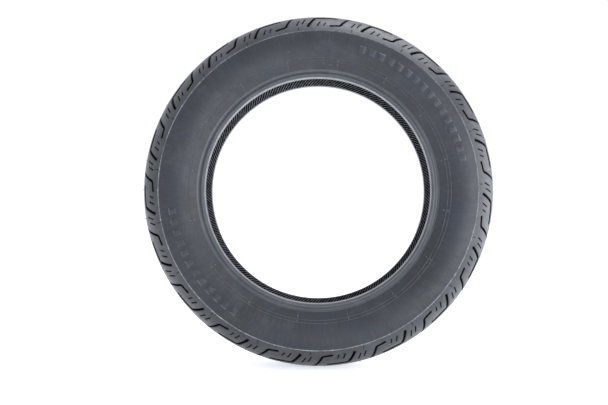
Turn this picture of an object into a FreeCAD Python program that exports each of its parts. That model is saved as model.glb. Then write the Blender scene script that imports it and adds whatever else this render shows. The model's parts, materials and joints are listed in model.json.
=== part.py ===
import FreeCAD, Part
import math
import os
import Sketcher

# Motorcycle tire, 16-inch bead seat, built as the moulded layers of the real tire.
# The wheel axis is +Y, the origin is the tire's centre and +Z is up.  The "back" pieces
# lie on the +Y side; each "front" piece is the same ring turned half a turn about Z.

SIZES = [
    # alias, value, meaning (mm and degrees)
    ("tread_centre", 239.5, "radius of the circle on which the crown arc is centred"),
    ("tread_radius", 81.5, "cross-section radius of the tread surface"),
    ("tread_edge_angle", 57.9, "angle of the shoulder ridge on the crown arc"),
    ("cap_thickness", 7.2, "rubber depth of the tread cap"),
    ("cap_edge_angle", 55.9, "angle where the cap's underside meets the sidewall"),
    ("shoulder_angle", 56.0, "angle on the carcass where undertread and sidewall meet"),
    ("carcass_apex", 308.2, "outer radius of the carcass at the centre plane"),
    ("carcass_radius", 79.8, "cross-section radius of the carcass under the crown"),
    ("crown_angle", 43.95, "angle where the crown arc passes into the sidewall arc"),
    ("side_radius", 38.0, "cross-section radius of the carcass in the sidewall"),
    ("side_end_angle", 135.0, "angle where the sidewall arc passes into a straight line"),
    ("ply_thickness", 1.0, "thickness of each carcass ply"),
    ("barrier_thickness", 0.8, "thickness of the barrier gum and of the chafer"),
    ("liner_thickness", 1.5, "thickness of the inner liner"),
    ("belt_thickness", 1.1, "thickness of each tread belt"),
    ("belt_angle", 32.0, "half angle covered by the inner belt"),
    ("belt_step", 2.5, "angle by which the outer belt is narrower on each side"),
    ("core_inside", 41.0, "distance of the bead core's cavity side from the centre plane"),
    ("core_bottom", 206.6, "inner radius of the bead core"),
    ("core_corner", 2.0, "corner radius of the bead core"),
    ("flipper_thickness", 0.8, "thickness of the flipper strip"),
    ("wrap_thickness", 0.6, "thickness of the bead wrap"),
    ("wire_diameter", 0.96, "diameter of one bead wire"),
    ("wire_pitch", 1.2, "spacing of the bead wires"),
    ("ply_bend", 6.0, "bend radius of the ply above the bead core"),
    ("turnup_start", 213.9, "radius at which the turned-up ply starts to lean out"),
    ("turnup_bend", 8.0, "bend radius of the turned-up ply"),
    ("turnup_lean", 30.0, "lean of the turned-up ply from the radial direction"),
    ("turnup_long", 15.0, "length of the outer ply's leaning turn-up"),
    ("turnup_short", 11.0, "length of the inner ply's leaning turn-up"),
    ("bore_radius", 202.0, "radius of the bead's cylindrical land"),
    ("toe_start", 36.9, "distance of the land's inner edge from the centre plane"),
    ("land_end", 45.0, "distance of the land's outer edge from the centre plane"),
    ("seat_taper", 5.0, "taper of the bead seat between land and heel"),
    ("heel_start", 53.3, "distance at which the heel rounding starts"),
    ("bead_face", 55.8, "distance of the bead's outer face from the centre plane"),
    ("heel_radius", 2.5, "rounding of the heel"),
    ("face_top", 208.2, "outer radius of the bead's flat face"),
    ("valley_depth", 2.1, "depth of the shallow valley above the bead face"),
    ("valley_middle", 212.4, "radius of the valley's middle"),
    ("lower_start", 216.3, "radius at which the lower sidewall starts"),
    ("lower_sink", 0.6, "depth of the lower sidewall's start behind the bead face"),
    ("lower_lean", 27.5, "lean of the lower sidewall from the radial direction"),
    ("lower_length", 22.7, "length of the straight lower sidewall"),
    ("inner_ring", 15.1, "distance of the inner fine ring along the lower sidewall"),
    ("outer_ring", 20.9, "distance of the outer fine ring along the lower sidewall"),
    ("ring_height", 0.5, "height of the fine rings and of the shoulder ridge"),
    ("sidewall_radius", 62.0, "cross-section radius of the sidewall's outer surface"),
    ("bar_bottom", 252.7, "inner radius of the raised bars"),
    ("bar_top", 265.6, "outer radius of the raised bars"),
    ("bar_face", 72.6, "distance of the bars' faces from the centre plane"),
    ("groove_depth", 5.5, "depth of the slanted grooves"),
    ("sipe_depth", 3.6, "depth of the fine sipes"),
    ("centre_groove_width", 7.0, "width of the straight centre groove"),
    ("centre_groove_depth", 6.0, "depth of the centre groove"),
    ("bridge_height", 2.0, "height of the wear bridges in the centre groove"),
]

WIRE_ROWS = 4
WIRE_COLUMNS = 4
TREAD_PITCHES = 19
WEAR_BRIDGES = 6

# One pitch of the tread on one shoulder: (width, depth, path).  Each path lists points as
# (degrees around the tire, degrees across the crown from the centre plane).
GROOVES = [
    (6.0, "groove_depth", [(0.0, 50.0), (2.7, 27.5), (9.6, 25.0)]),
    (4.0, "groove_depth", [(7.85, 49.0), (11.3, 47.0), (14.4, 16.0), (15.3, 9.5)]),
    (2.0, "sipe_depth", [(-3.8, 46.0), (-2.8, 35.0)]),
    (2.0, "sipe_depth", [(-1.85, 43.7), (-0.7, 30.5)]),
    (2.0, "sipe_depth", [(3.3, 49.5), (4.3, 40.0)]),
    (1.8, "sipe_depth", [(5.5, 48.5), (6.2, 41.7)]),
]
PATTERN_PHASE = 15.5
# Sector around the tire that holds the grooves of one pitch: (start, span) in degrees.
PITCH_SECTOR = (-15.0, 45.0)
# Groove cutters reach this far out of the tread surface, and this far past its edge.
CUTTER_RISE = 3.0
CUTTER_EDGE = 2.0
# A groove's prism starts below the tread surface and passes through it.
PRISM_START = 30.0
PRISM_LENGTH = 50.0
BRIDGE_LENGTH = 10.0

# Raised bars of the front sidewall, as (first bar, angle spanned, number of bars), measured
# clockwise from the top as seen from the front.
BAR_GROUPS = [(19.0, 60.0, 16), (216.0, 47.0, 12)]
BAR_ANGLE = 2.6
BAR_ROOT = 3.0

# Gap between the liner's end and the bore.
LINER_GAP = 2.0
# Section of a fine ring: (distance towards the shoulder, share of the ring's height).
FINE_RING = [(0.8, 0), (0.6, 1), (0.2, 1), (0.0, 0)]
# Section of the shoulder ridge: drops of its face below the tread's edge, and the distance
# outside and below that edge at which it meets the sidewall.
RIDGE_FACE = (0.1, 0.5)
RIDGE_FOOT = (0.2, 0.8)

DOC = FreeCAD.newDocument("motorcycle_tire")
HALF_TURN = FreeCAD.Placement(FreeCAD.Vector(), FreeCAD.Rotation(FreeCAD.Vector(0, 0, 1), 180))
AXIS = FreeCAD.Vector(0, 1, 0)
ORIGIN = FreeCAD.Vector()


class Dim:
    """A size that carries its value together with its spreadsheet formula."""

    def __init__(self, value, formula):
        self.value = value
        self.formula = formula

    def __add__(self, other):
        other = as_dim(other)
        return Dim(self.value + other.value, f"({self.formula} + {other.formula})")

    def __sub__(self, other):
        other = as_dim(other)
        return Dim(self.value - other.value, f"({self.formula} - {other.formula})")

    def __mul__(self, other):
        other = as_dim(other)
        return Dim(self.value * other.value, f"({self.formula} * {other.formula})")

    def __truediv__(self, other):
        other = as_dim(other)
        return Dim(self.value / other.value, f"({self.formula} / {other.formula})")

    def __neg__(self):
        return Dim(-self.value, f"(0 - {self.formula})")

    def __radd__(self, other):
        return as_dim(other) + self

    def __rsub__(self, other):
        return as_dim(other) - self

    def __rmul__(self, other):
        return as_dim(other) * self


def as_dim(number):
    if isinstance(number, Dim):
        return number
    return Dim(float(number), f"{number}")


def sine(angle):
    return Dim(math.sin(math.radians(angle.value)), f"sin({angle.formula} * 1deg)")


def cosine(angle):
    return Dim(math.cos(math.radians(angle.value)), f"cos({angle.formula} * 1deg)")


def make_sheet():
    """Write the driving sizes into a spreadsheet and return them as Dim objects."""
    sheet = DOC.addObject("Spreadsheet::Sheet", "Sizes")
    sizes = {}
    for row, (alias, value, meaning) in enumerate(SIZES, start=1):
        sheet.set(f"A{row}", alias)
        sheet.set(f"B{row}", f"{value}")
        sheet.set(f"C{row}", meaning)
        sheet.setAlias(f"B{row}", alias)
        sizes[alias] = Dim(value, f"Sizes.{alias}")
    return sizes


S = make_sheet()
DOC.recompute()


# ---------------------------------------------------------------- points of the cross-section
# A point is (axial, radial).  An outline is a list of (point, arc radius, turn); the radius
# and turn describe the edge that leaves the point: None for a line, +1 for an arc that
# turns left when axial is drawn to the right and radial upwards, and -1 for a right turn.


def polar(centre, radius, angle):
    """Point at a radius and an angle, measured from the radial direction to the outside."""
    return (centre[0] + radius * sine(angle), centre[1] + radius * cosine(angle))


def line_from(point):
    return (point, None, 0)


def arc_from(point, radius, turn):
    return (point, radius, turn)


TREAD_CENTRE = (as_dim(0), S["tread_centre"])
CROWN_CENTRE = (as_dim(0), S["carcass_apex"] - S["carcass_radius"])
SIDE_CENTRE = polar(CROWN_CENTRE, S["carcass_radius"] - S["side_radius"], S["crown_angle"])
PLIES = S["ply_thickness"] * 2
PLIES_AND_BARRIER = PLIES + S["barrier_thickness"]
FULL_STACK = PLIES_AND_BARRIER + S["liner_thickness"]
CORE_SIDE = S["flipper_thickness"] + S["wrap_thickness"]
CORE_OUTSIDE = S["core_inside"] + CORE_SIDE * 2 + S["wire_pitch"] * WIRE_COLUMNS
CORE_TOP = S["core_bottom"] + CORE_SIDE + S["wire_pitch"] * WIRE_ROWS + S["wrap_thickness"]


def bend_centre():
    """Centre of the bend that takes the ply from the sidewall down past the bead core."""
    lean = 180 - S["side_end_angle"]
    side_end = polar(SIDE_CENTRE, S["side_radius"], S["side_end_angle"])
    bend_width = S["ply_bend"] * (1 - cosine(lean))
    run = (side_end[0] - S["core_inside"] - bend_width) / sine(lean)
    bend_radial = side_end[1] - run * cosine(lean) - S["ply_bend"] * sine(lean)
    return (S["core_inside"] + S["ply_bend"], bend_radial)


BEND_CENTRE = bend_centre()
TURNUP_CENTRE = (CORE_OUTSIDE + S["turnup_bend"], S["turnup_start"])
LEFT_CORNER = (S["core_inside"] + S["core_corner"], S["core_bottom"] + S["core_corner"])
RIGHT_CORNER = (CORE_OUTSIDE - S["core_corner"], S["core_bottom"] + S["core_corner"])


def crown_end(offset):
    return polar(CROWN_CENTRE, S["carcass_radius"] - offset, S["crown_angle"])


def side_end(offset):
    return polar(SIDE_CENTRE, S["side_radius"] - offset, S["side_end_angle"])


def bend_start(offset):
    lean = 180 - S["side_end_angle"]
    radius = S["ply_bend"] + offset
    return (BEND_CENTRE[0] - radius * cosine(lean), BEND_CENTRE[1] + radius * sine(lean))


def bend_end(offset):
    return (S["core_inside"] - offset, BEND_CENTRE[1])


def turnup_leave(offset):
    radius = S["turnup_bend"] - offset
    lean = S["turnup_lean"]
    return (TURNUP_CENTRE[0] - radius * cosine(lean), TURNUP_CENTRE[1] + radius * sine(lean))


def turnup_point(offset, length):
    start = turnup_leave(offset)
    lean = S["turnup_lean"]
    return (start[0] + length * sine(lean), start[1] + length * cosine(lean))


def core_round(offset):
    """Path around the bead core at an offset, from its cavity side to its outer side."""
    corner = S["core_corner"] + offset
    return [
        arc_from((S["core_inside"] - offset, LEFT_CORNER[1]), corner, 1),
        line_from((LEFT_CORNER[0], S["core_bottom"] - offset)),
        arc_from((RIGHT_CORNER[0], S["core_bottom"] - offset), corner, 1),
        line_from((CORE_OUTSIDE + offset, RIGHT_CORNER[1])),
    ]


def reverse(path):
    """The same open path walked backwards; the last point's leaving edge is a line."""
    points = [step[0] for step in path][::-1]
    edges = [(step[1], -step[2]) for step in path[:-1]][::-1]
    edges.append((None, 0))
    return [(point, edge[0], edge[1]) for point, edge in zip(points, edges)]


def mirror(path):
    """The path mirrored to the other side of the centre plane, walked backwards."""
    flipped = [((-point[0], point[1]), radius, -turn) for point, radius, turn in path]
    return reverse(flipped)


def wall_path(offset):
    """Main ply path at an offset, from the end of the crown arc to the bead bend."""
    return [
        arc_from(crown_end(offset), S["side_radius"] - offset, -1),
        line_from(side_end(offset)),
        arc_from(bend_start(offset), S["ply_bend"] + offset, 1),
        line_from(bend_end(offset)),
    ]


def ply_path(offset, turnup):
    """Path of a ply surface from the crown, around the bead core, to the turn-up's end."""
    path = wall_path(offset) + core_round(offset)
    path.append(arc_from((CORE_OUTSIDE + offset, S["turnup_start"]), S["turnup_bend"] - offset, -1))
    path.append(line_from(turnup_leave(offset)))
    path.append(line_from(turnup_point(offset, turnup)))
    return path


def across_crown(half_path, radius):
    """Join a half path and its mirror image by an arc over the crown."""
    left = mirror(half_path)
    left[-1] = arc_from(left[-1][0], radius, -1)
    return left + half_path


def band_outline(upper, lower, upper_radius, lower_radius):
    """Closed outline of a layer that runs over the crown between two half paths."""
    return across_crown(upper, upper_radius) + reverse(across_crown(lower, lower_radius))


# ---------------------------------------------------------------- document helpers


def arc_geometry(start, end, radius, turn):
    """Circle arc from start to end; True when its own start is the walked end."""
    chord = end - start
    half = chord.Length / 2
    height = math.sqrt(max(radius * radius - half * half, 0.0))
    left = FreeCAD.Vector(-chord.y, chord.x, 0).normalize()
    centre = (start + end) * 0.5 + left * (height * turn)
    first, last = (start, end) if turn > 0 else (end, start)
    first_angle = math.atan2(first.y - centre.y, first.x - centre.x)
    last_angle = math.atan2(last.y - centre.y, last.x - centre.x)
    circle = Part.Circle(centre, FreeCAD.Vector(0, 0, 1), radius)
    return Part.ArcOfCircle(circle, first_angle, last_angle), turn < 0


def add_outline(sketch, outline):
    """Draw a closed outline and bind every corner and radius to the spreadsheet."""
    corners = [FreeCAD.Vector(step[0][1].value, step[0][0].value, 0) for step in outline]
    geometry = []
    starts = []
    ends = []
    for index, (point, radius, turn) in enumerate(outline):
        begin = corners[index]
        finish = corners[(index + 1) % len(corners)]
        if radius is None:
            geometry.append(Part.LineSegment(begin, finish))
            flipped = False
        else:
            # the sketch draws radial to the right and axial upwards, which swaps the turn
            arc, flipped = arc_geometry(begin, finish, radius.value, -turn)
            geometry.append(arc)
        starts.append(2 if flipped else 1)
        ends.append(1 if flipped else 2)
    first = sketch.GeometryCount
    sketch.addGeometry(geometry, False)
    constraints = []
    formulas = []
    for index, (point, radius, turn) in enumerate(outline):
        here = first + index
        after = (index + 1) % len(outline)
        joint = Sketcher.Constraint("Coincident", here, ends[index], first + after, starts[after])
        constraints.append(joint)
        formulas.append(None)
        radial, axial = corners[index].x, corners[index].y
        constraints.append(Sketcher.Constraint("DistanceX", -1, 1, here, starts[index], radial))
        formulas.append(("radial", point[1].formula))
        constraints.append(Sketcher.Constraint("DistanceY", -1, 1, here, starts[index], axial))
        formulas.append(("axial", point[0].formula))
        if radius is not None:
            constraints.append(Sketcher.Constraint("Radius", here, radius.value))
            formulas.append(("radius", radius.formula))
    offset = sketch.ConstraintCount
    sketch.addConstraint(constraints)
    for index, formula in enumerate(formulas):
        if formula is not None:
            name = f"{formula[0]}_{offset + index}"
            sketch.renameConstraint(offset + index, name)
            sketch.setExpression(f"Constraints.{name}", formula[1])


def profile_sketch(body, name, outline):
    """Sketch on the body's XY plane that holds one closed outline."""
    plane = [item for item in body.Origin.OriginFeatures if item.Role == "XY_Plane"][0]
    sketch = body.newObject("Sketcher::SketchObject", name)
    sketch.AttachmentSupport = [(plane, "")]
    sketch.MapMode = "FlatFace"
    add_outline(sketch, outline)
    return sketch


def revolve(body, sketch, name, angle=360.0):
    feature = body.newObject("PartDesign::Revolution", name)
    feature.Profile = (sketch, [""])
    feature.ReferenceAxis = (sketch, ["V_Axis"])
    feature.Angle = angle
    sketch.Visibility = False
    body.Tip = feature
    return feature


def ring(label, outline, front=False):
    """Solid of revolution about the wheel axis, as a body with one bound sketch."""
    body = DOC.addObject("PartDesign::Body", label)
    body.Label = label
    sketch = profile_sketch(body, f"{label}_profile", outline)
    revolve(body, sketch, f"{label}_revolved")
    if front:
        body.Placement = HALF_TURN
    return body


def on_both_sides(maker):
    """Build a side piece for the back and for the front of the tire."""
    return [maker("back", False), maker("front", True)]


# ---------------------------------------------------------------- crown pieces


def cap_inner_radius():
    return S["tread_radius"] - S["cap_thickness"]


def tread_edge():
    return polar(TREAD_CENTRE, S["tread_radius"], S["tread_edge_angle"])


def cap_corner():
    return polar(TREAD_CENTRE, cap_inner_radius(), S["cap_edge_angle"])


def shoulder_point():
    return polar(SIDE_CENTRE, S["side_radius"], S["shoulder_angle"])


def belt_corner(height, angle):
    return polar(CROWN_CENTRE, S["carcass_radius"] + height, angle)


def tread_blank():
    upper = [line_from(tread_edge())]
    lower = [line_from(cap_corner())]
    return ring("tread_blank", band_outline(upper, lower, S["tread_radius"], cap_inner_radius()))


def make_undertread():
    """Base rubber between the cap and the belts, thin at the shoulders."""
    belts = S["belt_thickness"] * 2
    narrow = S["belt_angle"] - S["belt_step"]
    belt_top = S["carcass_radius"] + S["belt_thickness"]
    lower = [
        line_from(belt_corner(belts, narrow)),
        arc_from(belt_corner(S["belt_thickness"], narrow), belt_top, -1),
        arc_from(belt_corner(S["belt_thickness"], S["belt_angle"]), S["carcass_radius"], -1),
        arc_from(crown_end(as_dim(0)), S["side_radius"], -1),
        line_from(shoulder_point()),
    ]
    upper = [line_from(cap_corner())]
    outline = band_outline(upper, lower, cap_inner_radius(), S["carcass_radius"] + belts)
    return ring("undertread", outline)


def make_belt(label, level, angle):
    low = S["belt_thickness"] * level
    high = S["belt_thickness"] * (level + 1)
    upper = [line_from(belt_corner(high, angle))]
    lower = [line_from(belt_corner(low, angle))]
    radii = (S["carcass_radius"] + high, S["carcass_radius"] + low)
    return ring(label, band_outline(upper, lower, radii[0], radii[1]))


def make_belt_edge_strip(side, front):
    """Wedge of gum that fills the step at the inner belt's edge."""
    outline = [
        arc_from(belt_corner(S["belt_thickness"], S["belt_angle"]), S["carcass_radius"], -1),
        arc_from(crown_end(as_dim(0)), S["carcass_radius"], 1),
        line_from(belt_corner(as_dim(0), S["belt_angle"])),
    ]
    return ring(f"belt_edge_strip_{side}", outline, front)


# ---------------------------------------------------------------- carcass and inner skin


def make_ply(label, level, turnup):
    near = S["ply_thickness"] * level
    far = S["ply_thickness"] * (level + 1)
    upper = ply_path(near, turnup)
    lower = ply_path(far, turnup)
    radii = (S["carcass_radius"] - near, S["carcass_radius"] - far)
    return ring(label, band_outline(upper, lower, radii[0], radii[1]))


def make_barrier_gum():
    low = LEFT_CORNER[1]
    upper = wall_path(PLIES) + [line_from((S["core_inside"] - PLIES, low))]
    lower = wall_path(PLIES_AND_BARRIER)
    lower.append(line_from((S["core_inside"] - PLIES_AND_BARRIER, low)))
    radii = (S["carcass_radius"] - PLIES, S["carcass_radius"] - PLIES_AND_BARRIER)
    return ring("barrier_gum", band_outline(upper, lower, radii[0], radii[1]))


def liner_bottom():
    return S["bore_radius"] + LINER_GAP


def make_inner_liner():
    upper = wall_path(PLIES_AND_BARRIER)
    upper.append(line_from((S["core_inside"] - PLIES_AND_BARRIER, liner_bottom())))
    lower = wall_path(FULL_STACK)
    lower.append(line_from((S["core_inside"] - FULL_STACK, liner_bottom())))
    radii = (S["carcass_radius"] - PLIES_AND_BARRIER, S["carcass_radius"] - FULL_STACK)
    return ring("inner_liner", band_outline(upper, lower, radii[0], radii[1]))


# ---------------------------------------------------------------- bead pieces


def wire_block():
    """Inner and outer axial and radial limits of the block of wires."""
    inside = S["core_inside"] + CORE_SIDE
    bottom = S["core_bottom"] + CORE_SIDE
    outside = inside + S["wire_pitch"] * WIRE_COLUMNS
    top = bottom + S["wire_pitch"] * WIRE_ROWS
    return inside, outside, bottom, top


def make_bead_wires(side, front):
    """Separate wire hoops, one torus for each, gathered in one compound."""
    inside, outside, bottom, top = wire_block()
    hoops = []
    for row in range(WIRE_ROWS):
        for column in range(WIRE_COLUMNS):
            hoop = DOC.addObject("Part::Torus", f"hoop_{side}_{row}_{column}")
            radius = bottom + S["wire_pitch"] * (row + 0.5)
            axial = inside + S["wire_pitch"] * (column + 0.5)
            hoop.setExpression("Radius1", radius.formula)
            hoop.setExpression("Radius2", "Sizes.wire_diameter / 2")
            hoop.Placement = FreeCAD.Placement(ORIGIN, FreeCAD.Rotation(FreeCAD.Vector(1, 0, 0), -90))
            hoop.setExpression("Placement.Base.y", axial.formula)
            hoops.append(hoop)
    wires = DOC.addObject("Part::Compound", f"bead_wires_{side}")
    wires.Label = f"bead_wires_{side}"
    wires.Links = hoops
    if front:
        wires.Placement = HALF_TURN
    return wires


def make_bead_insulation(side, wires, front):
    """Gum between the wires: a square ring with the hoops cut out of it."""
    inside, outside, bottom, top = wire_block()
    outline = [
        line_from((inside, bottom)),
        line_from((outside, bottom)),
        line_from((outside, top)),
        line_from((inside, top)),
    ]
    block = ring(f"insulation_block_{side}", outline, front)
    insulation = DOC.addObject("Part::Cut", f"bead_insulation_{side}")
    insulation.Label = f"bead_insulation_{side}"
    insulation.Base = block
    insulation.Tool = wires
    return insulation


def make_bead_wrap(side, front):
    """Thin wrap around the wire block, open as a square tube."""
    inside, outside, bottom, top = wire_block()
    shell = core_round(-S["flipper_thickness"])
    shell.append(line_from((CORE_OUTSIDE - S["flipper_thickness"], CORE_TOP)))
    shell.append(line_from((S["core_inside"] + S["flipper_thickness"], CORE_TOP)))
    hollow = [
        line_from((inside, bottom)),
        line_from((outside, bottom)),
        line_from((outside, top)),
        line_from((inside, top)),
    ]
    label = f"bead_wrap_{side}"
    body = ring(label, shell, front)
    add_outline(DOC.getObject(f"{label}_profile"), hollow)
    return body


def flipper_path(offset):
    """Path of a flipper surface from the ply bend around the core to the turn-up."""
    path = [
        arc_from(bend_start(offset), S["ply_bend"] + offset, 1),
        line_from(bend_end(offset)),
    ]
    path += core_round(offset)
    path.append(arc_from((CORE_OUTSIDE + offset, S["turnup_start"]), S["turnup_bend"] - offset, -1))
    path.append(line_from(turnup_leave(offset)))
    return path


def make_flipper(side, front):
    outline = flipper_path(as_dim(0)) + reverse(flipper_path(-S["flipper_thickness"]))
    return ring(f"flipper_{side}", outline, front)


def make_bead_filler(side, front):
    """Hard rubber wedge between the ply and its turn-up, standing on the bead wrap."""
    inner = -S["flipper_thickness"]
    outline = [
        line_from((CORE_OUTSIDE + inner, CORE_TOP)),
        arc_from((CORE_OUTSIDE + inner, S["turnup_start"]), S["turnup_bend"] - inner, -1),
        line_from(turnup_leave(inner)),
        line_from(turnup_leave(as_dim(0))),
        line_from(turnup_point(as_dim(0), S["turnup_long"])),
        line_from(side_end(as_dim(0))),
        line_from(bend_start(as_dim(0))),
        arc_from(bend_start(inner), S["ply_bend"] + inner, 1),
        line_from(bend_end(inner)),
        line_from((S["core_inside"] - inner, CORE_TOP)),
    ]
    return ring(f"bead_filler_{side}", outline, front)


def chafer_path(offset):
    path = core_round(offset)
    path.append(line_from((CORE_OUTSIDE + offset, S["turnup_start"])))
    return path


def make_chafer(side, front):
    outline = chafer_path(PLIES) + reverse(chafer_path(PLIES_AND_BARRIER))
    return ring(f"chafer_{side}", outline, front)


# ---------------------------------------------------------------- outer side pieces


def lower_wall_point(along, out):
    """Point on the straight lower sidewall, raised outwards by a height."""
    lean = S["lower_lean"]
    start = (S["bead_face"] - S["lower_sink"], S["lower_start"])
    return (
        start[0] + along * sine(lean) + out * cosine(lean),
        start[1] + along * cosine(lean) - out * sine(lean),
    )


def make_rim_cushion(side, front):
    """Hard rubber around the bead: toe, cylindrical land, tapered seat, heel and face."""
    zero = as_dim(0)
    toe = S["core_inside"] - FULL_STACK
    chafer_outer = reverse(chafer_path(PLIES_AND_BARRIER))
    rise = (S["heel_start"] - S["land_end"]) * sine(S["seat_taper"]) / cosine(S["seat_taper"])
    seat_end = S["bore_radius"] + rise
    outline = [
        line_from((S["core_inside"] - PLIES_AND_BARRIER, liner_bottom())),
        line_from((toe, liner_bottom())),
        line_from((toe, S["bore_radius"] + (S["toe_start"] - toe))),
        line_from((S["toe_start"], S["bore_radius"])),
        line_from((S["land_end"], S["bore_radius"])),
        arc_from((S["heel_start"], seat_end), S["heel_radius"], 1),
        line_from((S["bead_face"], seat_end + S["heel_radius"])),
        line_from((S["bead_face"], S["face_top"])),
        line_from((S["bead_face"] - S["valley_depth"], S["valley_middle"])),
        line_from(lower_wall_point(zero, zero)),
        arc_from(turnup_leave(PLIES), S["turnup_bend"] - PLIES, 1),
        line_from((CORE_OUTSIDE + PLIES, S["turnup_start"])),
    ]
    outline += chafer_outer
    return ring(f"rim_cushion_{side}", outline, front)


def fine_ring(along):
    """Small raised ring on the lower sidewall, walked towards the bead."""
    return [
        line_from(lower_wall_point(along + step, S["ring_height"] * share))
        for step, share in FINE_RING
    ]


def sidewall_outline():
    zero = as_dim(0)
    ridge = tread_edge()
    outline = [
        line_from(ridge),
        line_from((ridge[0] + S["ring_height"], ridge[1] - RIDGE_FACE[0])),
        line_from((ridge[0] + S["ring_height"], ridge[1] - RIDGE_FACE[1])),
        arc_from((ridge[0] + RIDGE_FOOT[0], ridge[1] - RIDGE_FOOT[1]), S["sidewall_radius"], -1),
        line_from(lower_wall_point(S["lower_length"], zero)),
    ]
    outline += fine_ring(S["outer_ring"])
    outline += fine_ring(S["inner_ring"])
    outline += [
        line_from(lower_wall_point(zero, zero)),
        line_from(turnup_leave(PLIES)),
        line_from(turnup_point(PLIES, S["turnup_short"])),
        line_from(turnup_point(S["ply_thickness"], S["turnup_short"])),
        line_from(turnup_point(S["ply_thickness"], S["turnup_long"])),
        line_from(turnup_point(zero, S["turnup_long"])),
        arc_from(side_end(zero), S["side_radius"], 1),
        line_from(shoulder_point()),
        line_from(cap_corner()),
    ]
    return outline


def bar_outline():
    inner = S["bar_face"] - BAR_ROOT
    return [
        line_from((inner, S["bar_bottom"])),
        line_from((S["bar_face"], S["bar_bottom"])),
        line_from((S["bar_face"], S["bar_top"])),
        line_from((inner, S["bar_top"])),
    ]


def make_sidewall(side, front):
    """Sidewall ring with groups of plain raised bars."""
    label = f"sidewall_{side}"
    body = ring(label, sidewall_outline())
    for number, (first, span, count) in enumerate(BAR_GROUPS):
        sketch = profile_sketch(body, f"{label}_bar_{number}", bar_outline())
        # the sketch lies at three o'clock; the half turn of the front piece swaps its sides
        start = 270.0 - first - span
        sketch.AttachmentOffset = FreeCAD.Placement(ORIGIN, FreeCAD.Rotation(AXIS, start))
        bar = revolve(body, sketch, f"{label}_bar_revolved_{number}", BAR_ANGLE)
        pattern = body.newObject("PartDesign::PolarPattern", f"{label}_bars_{number}")
        pattern.Originals = [bar]
        pattern.Axis = (sketch, ["V_Axis"])
        pattern.Angle = span
        pattern.Occurrences = count
        body.Tip = pattern
    if front:
        body.Placement = HALF_TURN
    return body


# ---------------------------------------------------------------- tread grooves


def crown_point(around, across):
    """Point on the tread surface from its angles around the tire and across the crown."""
    radial = S["tread_centre"].value + S["tread_radius"].value * math.cos(math.radians(across))
    axial = -S["tread_radius"].value * math.sin(math.radians(across))
    turn = math.radians(around)
    return FreeCAD.Vector(radial * math.sin(turn), axial, radial * math.cos(turn))


def strip_face(path, width):
    """Flat face of a constant-width strip along a groove path, facing out of the tread."""
    angles = [sum(values) / len(path) for values in zip(*path)]
    middle = crown_point(angles[0], angles[1])
    ring_centre = FreeCAD.Vector(middle.x, 0, middle.z).normalize() * S["tread_centre"].value
    normal = (middle - ring_centre).normalize()
    points = []
    for around, across in path:
        point = crown_point(around, across)
        points.append(point - normal * (point - middle).dot(normal))
    left = []
    right = []
    for index, point in enumerate(points):
        before = (point - points[index - 1]).normalize() if index > 0 else None
        after = (points[index + 1] - point).normalize() if index + 1 < len(points) else None
        before = before or after
        after = after or before
        along = (before + after).normalize()
        side = normal.cross(along) * (width / 2 / along.dot(before))
        left.append(point + side)
        right.append(point - side)
    corners = left + right[::-1]
    return Part.Face(Part.makePolygon(corners + corners[:1])), normal


def depth_band(depth):
    """Sector of a shell that reaches from above the tread down to a groove floor."""
    edge = math.radians(S["tread_edge_angle"].value + CUTTER_EDGE)
    centre = S["tread_centre"].value
    outer = S["tread_radius"].value + CUTTER_RISE
    inner = S["tread_radius"].value - depth

    def point(radius, angle):
        return FreeCAD.Vector(0, radius * math.sin(angle), centre + radius * math.cos(angle))

    edges = [
        Part.Arc(point(outer, -edge), point(outer, 0), point(outer, edge)).toShape(),
        Part.makeLine(point(outer, edge), point(inner, edge)),
        Part.Arc(point(inner, edge), point(inner, 0), point(inner, -edge)).toShape(),
        Part.makeLine(point(inner, -edge), point(outer, -edge)),
    ]
    face = Part.Face(Part.Wire(edges))
    face.rotate(ORIGIN, AXIS, PITCH_SECTOR[0])
    return face.revolve(ORIGIN, AXIS, PITCH_SECTOR[1])


def pitch_cutters():
    """Cutters of one pitch on the front shoulder."""
    cutters = []
    for width, depth, path in GROOVES:
        face, normal = strip_face(path, width)
        face.translate(normal * -PRISM_START)
        prism = face.extrude(normal * PRISM_LENGTH)
        cutters += prism.common(depth_band(S[depth].value)).Solids
    return cutters


def centre_groove():
    """Straight groove around the crown, interrupted by low wear bridges."""
    outer = S["tread_centre"].value + S["tread_radius"].value
    width = S["centre_groove_width"].value
    floor = outer - S["centre_groove_depth"].value
    corner = FreeCAD.Vector(0, -width / 2, 0)
    groove = Part.makeCylinder(outer + CUTTER_RISE, width, corner, AXIS)
    groove = groove.cut(Part.makeCylinder(floor, width, corner, AXIS))
    height = S["bridge_height"].value
    for index in range(WEAR_BRIDGES):
        foot = FreeCAD.Vector(-BRIDGE_LENGTH / 2, -width / 2, floor - height)
        bridge = Part.makeBox(BRIDGE_LENGTH, width, height * 2, foot)
        bridge.rotate(ORIGIN, AXIS, (index + 0.5) * 360 / WEAR_BRIDGES)
        groove = groove.cut(bridge)
    return groove


def make_tread_grooves():
    """All cutters of the tread: every pitch of both shoulders and the centre groove."""
    pitch = 360 / TREAD_PITCHES
    cutters = [centre_groove()]
    for solid in pitch_cutters():
        other = solid.mirror(ORIGIN, AXIS)
        for index in range(TREAD_PITCHES):
            for shape, shift in ((solid, 0.0), (other, pitch / 2)):
                turned = shape.copy()
                turned.rotate(ORIGIN, AXIS, PATTERN_PHASE + index * pitch + shift)
                cutters.append(turned)
    grooves = DOC.addObject("Part::Feature", "tread_grooves")
    grooves.Shape = Part.makeCompound(cutters)
    return grooves


def make_tread_cap():
    cap = DOC.addObject("Part::Cut", "tread_cap")
    cap.Label = "tread_cap"
    cap.Base = tread_blank()
    cap.Tool = make_tread_grooves()
    return cap


# ---------------------------------------------------------------- assembly and export


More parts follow.
